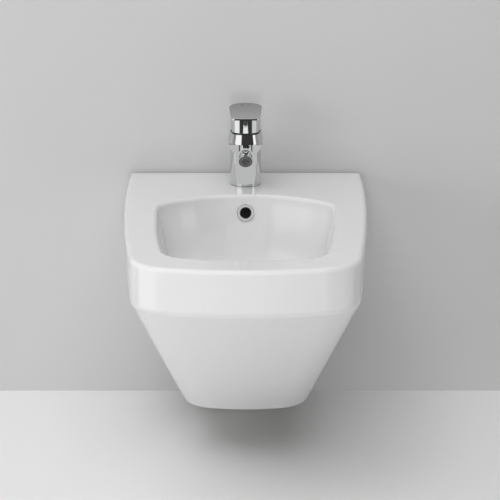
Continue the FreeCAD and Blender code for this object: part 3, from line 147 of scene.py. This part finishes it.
finishes = {
    "chrome": {
        "name": "polishedChrome", "light": (0.68, 0.685, 0.69, 1), "dark": (0.65, 0.655, 0.665, 1), "toneScale": 40.0,
        "clean": 0.03, "marked": 0.06, "markScale": 70.0, "bumpScale": 120.0, "bumpDepth": 0.00001, "metal": 1.0},
    "brass": {
        "name": "turnedBrass", "light": (0.66, 0.48, 0.20, 1), "dark": (0.56, 0.39, 0.15, 1), "toneScale": 90.0,
        "clean": 0.22, "marked": 0.38, "markScale": 120.0, "bumpScale": 900.0, "bumpDepth": 0.00004, "metal": 1.0},
    "steel": {
        "name": "platedSteel", "light": (0.62, 0.63, 0.64, 1), "dark": (0.52, 0.53, 0.55, 1), "toneScale": 70.0,
        "clean": 0.25, "marked": 0.42, "markScale": 90.0, "bumpScale": 700.0, "bumpDepth": 0.00004, "metal": 1.0},
    "rubber": {
        "name": "blackRubber", "light": grey(0.030), "dark": grey(0.018), "toneScale": 160.0,
        "clean": 0.62, "marked": 0.8, "markScale": 140.0, "bumpScale": 1200.0, "bumpDepth": 0.00003},
    "white_plastic": {
        "name": "whiteAcetal", "light": (0.80, 0.80, 0.77, 1), "dark": (0.76, 0.76, 0.72, 1), "toneScale": 80.0,
        "clean": 0.32, "marked": 0.45, "markScale": 110.0, "bumpScale": 800.0, "bumpDepth": 0.00002},
    "grey_plastic": {
        "name": "greyPlastic", "light": grey(0.10), "dark": grey(0.07), "toneScale": 200.0,
        "clean": 0.35, "marked": 0.5, "markScale": 220.0, "bumpScale": 1500.0, "bumpDepth": 0.00002},
    "disc_ceramic": {
        "name": "lappedAlumina", "light": (0.84, 0.81, 0.75, 1), "dark": (0.80, 0.76, 0.69, 1), "toneScale": 90.0,
        "clean": 0.18, "marked": 0.26, "markScale": 150.0, "bumpScale": 1200.0, "bumpDepth": 0.00001},
    "blue_enamel": {
        "name": "blueEnamel", "light": (0.05, 0.10, 0.42, 1), "dark": (0.04, 0.08, 0.36, 1), "toneScale": 400.0,
        "clean": 0.15, "marked": 0.25, "markScale": 300.0, "bumpScale": 900.0, "bumpDepth": 0.00002},
    "red_enamel": {
        "name": "redEnamel", "light": (0.55, 0.04, 0.05, 1), "dark": (0.48, 0.03, 0.04, 1), "toneScale": 400.0,
        "clean": 0.15, "marked": 0.25, "markScale": 300.0, "bumpScale": 900.0, "bumpDepth": 0.00002},
}
chinaLook = {
    "glazeLight": grey(0.80), "glazeDark": grey(0.785), "glazeScale": 7.0,
    "bareLight": (0.70, 0.67, 0.62, 1), "bareDark": (0.60, 0.57, 0.52, 1), "bareScale": 60.0, "bareRoughness": 0.75,
    # the near-black colour on the next line is painted shade for the inside of the overflow duct
    "ductShadeColour": (0.10, 0.095, 0.085, 1), "clean": 0.06, "marked": 0.09, "markScale": 9.0,
    "bumpScale": 11.0, "bumpDepth": 0.0004, "bumpStrength": 0.5, "refraction": 1.5,
}


def addWave(tree, shader, scale, depth, strength=1.0):
    bump = addNode(tree, "ShaderNodeBump")
    setInputs(bump, {"Distance": depth, "Strength": strength})
    tree.links.new(useGroup(tree, unevenness, Scale=scale), bump.inputs["Height"])
    tree.links.new(bump.outputs["Normal"], shader.inputs["Normal"])


def makeFinish(name, light, dark, toneScale, clean, marked, markScale, bumpScale, bumpDepth, metal=0.0):
    material, tree, shader = newMaterial(name)
    colour = useGroup(tree, tone, Scale=toneScale, Light=light, Dark=dark)
    marks = useGroup(tree, wipeMarks, Scale=markScale, Clean=clean, Marked=marked)
    tree.links.new(colour, shader.inputs["Base Color"])
    tree.links.new(marks, shader.inputs["Roughness"])
    addWave(tree, shader, bumpScale, bumpDepth)
    shader.inputs["Metallic"].default_value = metal
    return material


def makeChina(look):
    # glaze, bare clay where the attribute glaze is off, and a dark painted shade on the faces inside the overflow
    # duct
    material, tree, shader = newMaterial("glazedChina")
    glazeTone = useGroup(tree, tone, Scale=look["glazeScale"], Light=look["glazeLight"], Dark=look["glazeDark"])
    bareTone = useGroup(tree, tone, Scale=look["bareScale"], Light=look["bareLight"], Dark=look["bareDark"])
    marks = useGroup(tree, wipeMarks, Scale=look["markScale"], Clean=look["clean"], Marked=look["marked"])
    glaze = addNode(tree, "ShaderNodeAttribute", attribute_name="glaze")
    ductShade = addNode(tree, "ShaderNodeAttribute", attribute_name="ductShade")
    colour = addNode(tree, "ShaderNodeMix", data_type="RGBA")
    ductShadeMix = addNode(tree, "ShaderNodeMix", data_type="RGBA")
    ductShadeMix.inputs["B"].default_value = look["ductShadeColour"]
    rough = addNode(tree, "ShaderNodeMix")
    rough.inputs["A"].default_value = look["bareRoughness"]
    link = tree.links.new
    link(glaze.outputs["Fac"], colour.inputs["Factor"])
    link(bareTone, colour.inputs["A"])
    link(glazeTone, colour.inputs["B"])
    link(ductShade.outputs["Fac"], ductShadeMix.inputs["Factor"])
    link(colour.outputs["Result"], ductShadeMix.inputs["A"])
    link(ductShadeMix.outputs["Result"], shader.inputs["Base Color"])
    link(glaze.outputs["Fac"], rough.inputs["Factor"])
    link(marks, rough.inputs["B"])
    link(rough.outputs["Result"], shader.inputs["Roughness"])
    addWave(tree, shader, look["bumpScale"], look["bumpDepth"], look["bumpStrength"])
    shader.inputs["IOR"].default_value = look["refraction"]
    return material


slotFinish = {slot: makeFinish(**look) for slot, look in finishes.items()}
slotFinish["china"] = makeChina(chinaLook)
nodeSlot = {row["node"]: row["material_slot"] for row in frame["record"]["subparts"]}
for name, piece in nodes.items():
    piece.data.materials.clear()
    piece.data.materials.append(slotFinish[nodeSlot[name]])
print("finishes made:", len(slotFinish))


# China: the shell as the CAD has it, with the glaze left off its back and its hollow

overflowWay = {"halfWidth": 0.0145, "rear": -0.122, "front": -0.137, "lean": 0.2586,
               "low": 0.02, "high": 0.0731, "rim": 0.085}


def makeChinaShell():
    shell = bpy.data.objects.new("chinaShell", nodes["ceramic_body"].data.copy())
    scene.collection.objects.link(shell)
    mesh = shell.data
    tree = BVHTree.FromPolygons([v.co for v in mesh.vertices], [p.vertices for p in mesh.polygons])
    up = Vector((0, 0, 1))
    step = 0.0005

    def glazed(face):
        # glaze is on every face that sees the room, straight out or straight up
        if face.center.y > -step:
            return 0.0
        start = face.center + face.normal * step
        clear = tree.ray_cast(start, face.normal)[0] is None or tree.ray_cast(start, up)[0] is None
        return 1.0 if clear else 0.0

    def ductShaded(face):
        # the overflow's duct leans with the bowl's rear wall; the faces inside it get the dark painted shade
        x, y, z = face.center
        front = overflowWay["front"] - overflowWay["lean"] * (overflowWay["rim"] - z)
        inside = overflowWay["low"] < z < overflowWay["high"] and front < y < overflowWay["rear"]
        return 1.0 if inside and abs(x) < overflowWay["halfWidth"] else 0.0

    for label, rule in (("glaze", glazed), ("ductShade", ductShaded)):
        values = [rule(face) for face in mesh.polygons]
        mesh.attributes.new(label, "FLOAT", "FACE").data.foreach_set("value", values)
    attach(shell, "bidet")
    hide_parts("ceramic_body")


makeChinaShell()
print("china made")


# Aerator screen: a honeycomb of fine wire in a thin ring, in the nozzle's mouth

screenSizes = {"Radius": 0.0071, "Cell": 0.00092, "Wire": 0.00011, "Ring": 0.00022, "Button": 0.0006}
screenSteps = {"cells": 19, "wireSides": 4, "ringSides": 8, "ringSteps": 64, "buttonSegments": 16, "buttonRings": 8}
screenPlace = {"ball": (0.0, -0.121, 0.1394), "ahead": 0.0146, "droop": 27.0}


def makeScreenTree(material):
    tree = bpy.data.node_groups.new("aeratorScreen", "GeometryNodeTree")
    for label in screenSizes:
        tree.interface.new_socket(label, in_out="INPUT", socket_type=floatKind)
    tree.interface.new_socket("Geometry", in_out="OUTPUT", socket_type="NodeSocketGeometry")
    given = addNode(tree, "NodeGroupInput")
    result = addNode(tree, "NodeGroupOutput")
    link = tree.links.new

    def maths(operation, first, second):
        node = addNode(tree, "ShaderNodeMath", operation=operation)
        for place, value in enumerate((first, second)):
            if isinstance(value, (int, float)):
                node.inputs[place].default_value = value
            else:
                link(value, node.inputs[place])
        return node.outputs[0]

    def circle(radius, steps):
        curve = addNode(tree, "GeometryNodeCurvePrimitiveCircle")
        curve.inputs["Resolution"].default_value = steps
        link(radius, curve.inputs["Radius"])
        return curve.outputs["Curve"]

    def wireAround(curve, thickness, sides):
        wire = addNode(tree, "GeometryNodeCurveToMesh")
        link(curve, wire.inputs["Curve"])
        link(circle(thickness, sides), wire.inputs["Profile Curve"])
        return wire.outputs["Mesh"]

    # a grid of points, every other row half a cell aside, trimmed to the ring
    count = screenSteps["cells"]
    pitch = given.outputs["Cell"]
    step = maths("MULTIPLY", pitch, math.sqrt(3) / 2)
    grid = addNode(tree, "GeometryNodeMeshGrid")
    setInputs(grid, {"Vertices X": count, "Vertices Y": count})
    link(maths("MULTIPLY", pitch, count - 1), grid.inputs["Size X"])
    link(maths("MULTIPLY", step, count - 1), grid.inputs["Size Y"])
    row = addNode(tree, "ShaderNodeSeparateXYZ")
    link(addNode(tree, "GeometryNodeInputPosition").outputs[0], row.inputs[0])
    odd = maths("PINGPONG", maths("ROUND", maths("DIVIDE", row.outputs["Y"], step), 0.0), 1.0)
    aside = addNode(tree, "ShaderNodeCombineXYZ")
    link(maths("MULTIPLY", maths("MULTIPLY", pitch, 0.5), odd), aside.inputs["X"])
    shift = addNode(tree, "GeometryNodeSetPosition")
    link(grid.outputs["Mesh"], shift.inputs["Geometry"])
    link(aside.outputs[0], shift.inputs["Offset"])
    reach = addNode(tree, "ShaderNodeVectorMath", operation="LENGTH")
    link(addNode(tree, "GeometryNodeInputPosition").outputs[0], reach.inputs[0])
    outside = addNode(tree, "FunctionNodeCompare", operation="GREATER_THAN")
    link(reach.outputs["Value"], outside.inputs[0])
    link(maths("SUBTRACT", given.outputs["Radius"], maths("MULTIPLY", pitch, 0.6)), outside.inputs[1])
    trim = addNode(tree, "GeometryNodeDeleteGeometry", domain="POINT")
    link(shift.outputs["Geometry"], trim.inputs["Geometry"])
    link(outside.outputs[0], trim.inputs["Selection"])

    # a six-sided cell of wire on each point
    cell = circle(maths("DIVIDE", pitch, math.sqrt(3)), 6)
    flat = addNode(tree, "GeometryNodeTransform")
    flat.inputs["Rotation"].default_value = (0.0, 0.0, math.radians(30))
    link(wireAround(cell, given.outputs["Wire"], screenSteps["wireSides"]), flat.inputs["Geometry"])
    cells = addNode(tree, "GeometryNodeInstanceOnPoints")
    link(trim.outputs["Geometry"], cells.inputs["Points"])
    link(flat.outputs["Geometry"], cells.inputs["Instance"])

    edge = circle(given.outputs["Radius"], screenSteps["ringSteps"])
    ring = wireAround(edge, given.outputs["Ring"], screenSteps["ringSides"])
    button = addNode(tree, "GeometryNodeMeshUVSphere")
    setInputs(button, {"Segments": screenSteps["buttonSegments"], "Rings": screenSteps["buttonRings"]})
    link(given.outputs["Button"], button.inputs["Radius"])
    join = addNode(tree, "GeometryNodeJoinGeometry")
    for piece in (cells.outputs["Instances"], ring, button.outputs["Mesh"]):
        link(piece, join.inputs["Geometry"])

    # in the mouth of the drooping nozzle
    droop = math.radians(screenPlace["droop"])
    forward = Vector((0.0, -math.cos(droop), -math.sin(droop)))
    place = addNode(tree, "GeometryNodeTransform")
    setInputs(place, {"Translation": Vector(screenPlace["ball"]) + screenPlace["ahead"] * forward,
                      "Rotation": (math.radians(90) + droop, 0.0, 0.0)})
    link(join.outputs["Geometry"], place.inputs["Geometry"])
    whole = addNode(tree, "GeometryNodeRealizeInstances")
    link(place.outputs["Geometry"], whole.inputs["Geometry"])
    paint = addNode(tree, "GeometryNodeSetMaterial")
    paint.inputs["Material"].default_value = material
    link(whole.outputs["Geometry"], paint.inputs["Geometry"])
    link(paint.outputs["Geometry"], result.inputs["Geometry"])
    return tree


def growPiece(name, tree, sizes):
    # runs a tree on an empty mesh and keeps the result as a plain one
    seed = bpy.data.objects.new(name + "Seed", bpy.data.meshes.new(name + "Seed"))
    scene.collection.objects.link(seed)
    modifier = seed.modifiers.new(name, "NODES")
    modifier.node_group = tree
    for item in tree.interface.items_tree:
        if item.in_out == "INPUT":
            modifier[item.identifier] = sizes[item.name]
    view = bpy.context.evaluated_depsgraph_get()
    mesh = bpy.data.meshes.new_from_object(seed.evaluated_get(view))
    seed.modifiers.remove(modifier)
    bpy.data.objects.remove(seed)
    piece = bpy.data.objects.new(name, mesh)
    scene.collection.objects.link(piece)
    return piece


screen = growPiece("aeratorScreen", makeScreenTree(slotFinish["steel"]), screenSizes)
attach(screen, "nozzle")
print("aerator screen made:", len(screen.data.polygons), "faces")


# Stage: floor and wall

stageSizes = {
    "floor": -0.275, "wall": 0.004, "reach": 7.0, "near": (0.8, 0.7),
    "opening": ((-0.095, -0.19), (0.095, -0.19), (0.164, 0.03),
                (0.164, 0.072), (-0.164, 0.072), (-0.164, 0.03)),
}
stagePaint = {"floor": 0.84, "wall": 0.585, "roughness": 0.9, "specular": 0.2}


def ringFaces(count):
    # quads between an outer outline and an inner one of as many corners
    return [(i, (i + 1) % count, count + (i + 1) % count, count + i) for i in range(count)]


def makePlane(name, corners, material, faces=((0, 1, 2, 3),)):
    mesh = bpy.data.meshes.new(name)
    mesh.from_pydata(corners, [], faces)
    mesh.materials.append(material)
    plane = bpy.data.objects.new(name, mesh)
    scene.collection.objects.link(plane)
    return plane


def showFront(tree, surface):
    # the surface is there only on its front
    clear = addNode(tree, "ShaderNodeBsdfTransparent")
    side = addNode(tree, "ShaderNodeNewGeometry")
    mix = addNode(tree, "ShaderNodeMixShader")
    tree.links.new(side.outputs["Backfacing"], mix.inputs["Fac"])
    tree.links.new(surface.outputs[0], mix.inputs[1])
    tree.links.new(clear.outputs[0], mix.inputs[2])
    tree.links.new(mix.outputs[0], tree.nodes["Material Output"].inputs["Surface"])


def makeStagePaint(name, level):
    material, tree, shader = newMaterial(name)
    setInputs(shader, {"Base Color": grey(level), "Roughness": stagePaint["roughness"],
                       "Specular IOR Level": stagePaint["specular"]})
    showFront(tree, shader)
    return material


def makeRoom(floor, wall, reach, near, opening):
    # the wall is open behind the china, so that its back gets light too
    floorPaint = makeStagePaint("floorPaint", stagePaint["floor"])
    wallPaint = makeStagePaint("wallPaint", stagePaint["wall"])
    side, front = near
    close = [(-side, -front, floor), (side, -front, floor), (side, wall, floor), (-side, wall, floor)]
    makePlane("floor", close, floorPaint)
    far = [(-reach, -reach, floor), (reach, -reach, floor), (reach, wall, floor), (-reach, wall, floor)]
    frontFace, rightFace, wallFace, leftFace = ringFaces(len(far))
    farFloor = makePlane("farFloor", far + close, floorPaint, [frontFace, rightFace, leftFace])
    farFloor.visible_glossy = False          # the tap mirrors a dark room there
    outer = [(-reach, floor), (reach, floor), (reach, opening[2][1]),
             (reach, reach), (-reach, reach), (-reach, opening[5][1])]
    corners = [(x, wall, z) for x, z in outer + list(opening)]
    makePlane("wall", corners, wallPaint, ringFaces(len(outer)))


makeRoom(**stageSizes)


# Stage: lamps and the room's own light

lamps = {
    "highLeftLamp": {"place": (-1.2, -1.2, 2.8), "size": 2.4, "power": 29.0},
    "lowLeftLamp": {"place": (-2.6, -2.2, 0.2), "size": 1.6, "power": 27.0},
    "highFrontLamp": {"place": (0.0, -2.2, 2.8), "size": 2.4, "power": 42.0},
    "lowFrontLamp": {"place": (0.0, -3.5, -0.05), "size": 0.44, "power": 13.5},
    "backLamp": {"place": (0.9, 2.2, 1.2), "size": 1.6, "power": 30.0},
}
roomLight = {"fill": 0.22, "backdrop": 0.62, "mirrored": 0.05}


def makeLamp(name, place, size, power, aim=(0.0, -0.3, 0.0)):
    light = bpy.data.lights.new(name, "AREA")
    light.shape, light.size, light.energy = "SQUARE", size, power
    lamp = bpy.data.objects.new(name, light)
    lamp.location = place
    lamp.rotation_euler = (Vector(aim) - Vector(place)).to_track_quat("-Z", "Y").to_euler()
    lamp.visible_glossy = False
    scene.collection.objects.link(lamp)


def makeWorld():
    # one level for soft light, one for mirrors and one behind the stage
    world = bpy.data.worlds.new("room")
    scene.world = world
    world.use_nodes = True
    tree = world.node_tree
    rays = addNode(tree, "ShaderNodeLightPath")
    fill = addNode(tree, "ShaderNodeMix", data_type="RGBA")
    fill.inputs["A"].default_value = grey(roomLight["fill"])
    fill.inputs["B"].default_value = grey(roomLight["mirrored"])
    shown = addNode(tree, "ShaderNodeMix", data_type="RGBA")
    shown.inputs["B"].default_value = grey(roomLight["backdrop"])
    tree.links.new(rays.outputs["Is Glossy Ray"], fill.inputs["Factor"])
    tree.links.new(rays.outputs["Is Camera Ray"], shown.inputs["Factor"])
    tree.links.new(fill.outputs["Result"], shown.inputs["A"])
    tree.links.new(shown.outputs["Result"], tree.nodes["Background"].inputs["Color"])


for name, lamp in lamps.items():
    makeLamp(name, **lamp)
makeWorld()


# Stage: glowing cards and sheets that only mirrors see, painted reflections and highlights in the chrome and glaze

cardCentre = (0.0, -0.1, 0.17)               # angles in degrees around the tap, 0 towards the camera
cards = {
    "highLeftCard": {"azimuth": -49, "width": 50, "low": 1, "high": 38, "distance": 3.0, "level": 1.35},
    "highRightCard": {"azimuth": 61, "width": 21, "low": 1, "high": 38, "distance": 3.0, "level": 1.4},
    "farLeftCard": {"azimuth": -90, "width": 38, "low": 0, "high": 36, "distance": 3.1, "level": 0.38,
                    "soft": 0.15},
    "farRightCard": {"azimuth": 88, "width": 36, "low": 0, "high": 36, "distance": 3.1, "level": 0.38,
                     "soft": 0.15},
    "lowLeftCard": {"azimuth": -73, "width": 58, "low": -28, "high": -3, "distance": 3.0, "level": 1.2},
    "lowRightCard": {"azimuth": 76, "width": 58, "low": -28, "high": -3, "distance": 3.0, "level": 0.85},
    "nearCard": {"azimuth": 0, "width": 36, "low": -3.5, "high": 5.7, "distance": 0.65, "level": 0.75,
                 "soft": 0.1},
}
# glowing sheets over the bowl and rim, behind the lever and overhead: painted reflections in the tap, brightening
# upward behind the lever
sheets = {
    "bowlSheet": {"corners": [(-0.11, -0.46, 0.088), (0.11, -0.46, 0.088), (0.28, -0.097, 0.088),
                              (-0.28, -0.097, 0.088)], "span": (0.0, 1.0), "levels": (0.70, 0.70)},
    "rimSheet": {"corners": [(-0.13, -0.53, 0.088), (0.13, -0.53, 0.088), (0.13, -0.46, 0.088),
                             (-0.13, -0.46, 0.088)], "span": (0.0, 1.0), "levels": (1.2, 1.2)},
    "leverSheet": {"corners": [(-0.06, 0.002, 0.195), (0.06, 0.002, 0.195), (0.06, 0.002, 0.30),
                               (-0.06, 0.002, 0.30)], "span": (0.222, 0.262), "levels": (0.32, 0.54)},
    "topSheet": {"corners": [(-0.9, -0.2, 2.2), (0.9, -0.2, 2.2), (0.9, -1.2, 2.2),
                             (-0.9, -1.2, 2.2)], "span": (0.0, 1.0), "levels": (1.0, 1.0)},
}


def showToMirrors(piece):
    piece.visible_camera = piece.visible_diffuse = piece.visible_shadow = False
    piece.visible_transmission = piece.visible_volume_scatter = False


def makeCard(name, azimuth, width, low, high, distance, level, soft=0.3):
    # a glowing card that paints a reflection in the chrome and glaze, fading out to its edges
    material, tree, shader = newMaterial(name)
    fade = addNode(tree, "ShaderNodeAttribute", attribute_name="fade")
    strength = addNode(tree, "ShaderNodeMath", operation="MULTIPLY")
    strength.inputs[1].default_value = level
    glow = addNode(tree, "ShaderNodeEmission")
    tree.links.new(fade.outputs["Fac"], strength.inputs[0])
    tree.links.new(strength.outputs[0], glow.inputs["Strength"])
    tree.links.new(glow.outputs[0], tree.nodes["Material Output"].inputs["Surface"])
    tree.nodes.remove(shader)
    middle, half = (low + high) / 2, (high - low) / 2
    corners = []
    for reach in (1.0, 1.0 - soft):
        for side, rise in ((-1, -1), (1, -1), (1, 1), (-1, 1)):
            angle = math.radians(azimuth + side * reach * width / 2)
            height = math.tan(math.radians(middle + rise * reach * half))
            corners.append(Vector(cardCentre) + distance * Vector((math.sin(angle), -math.cos(angle), height)))
    card = makePlane(name, corners, material, ringFaces(4) + [(4, 5, 6, 7)])
    card.data.attributes.new("fade", "FLOAT", "POINT").data.foreach_set("value", [0.0] * 4 + [1.0] * 4)
    showToMirrors(card)


def makeSheet(name, corners, span, levels):
    # a glowing sheet seen on its front, brighter by its height: a painted reflection in the tap
    material, tree, shader = newMaterial(name)
    place = addNode(tree, "ShaderNodeTexCoord")
    height = addNode(tree, "ShaderNodeSeparateXYZ")
    glow = addNode(tree, "ShaderNodeMapRange")
    setInputs(glow, dict(zip(("From Min", "From Max", "To Min", "To Max"), span + levels)))
    shine = addNode(tree, "ShaderNodeEmission")
    tree.links.new(place.outputs["Object"], height.inputs[0])
    tree.links.new(height.outputs["Z"], glow.inputs["Value"])
    tree.links.new(glow.outputs["Result"], shine.inputs["Strength"])
    showFront(tree, shine)
    tree.nodes.remove(shader)
    showToMirrors(makePlane(name, corners, material))


for name, card in cards.items():
    makeCard(name, **card)
for name, sheet in sheets.items():
    makeSheet(name, **sheet)


cameraView = {"place": (0.0, -2.5, 0.662), "tilt": 74.34, "lens": 119.16, "shift": 0.0088, "sensor": 36.0}
camera = bpy.data.objects.new("camera", bpy.data.cameras.new("camera"))
camera.location = cameraView["place"]
camera.rotation_euler = (math.radians(cameraView["tilt"]), 0.0, 0.0)
camera.data.sensor_width = cameraView["sensor"]
camera.data.lens = cameraView["lens"]
camera.data.shift_x = cameraView["shift"]
scene.collection.objects.link(camera)
scene.camera = camera
scene.view_settings.view_transform = "Standard"
print("stage set")
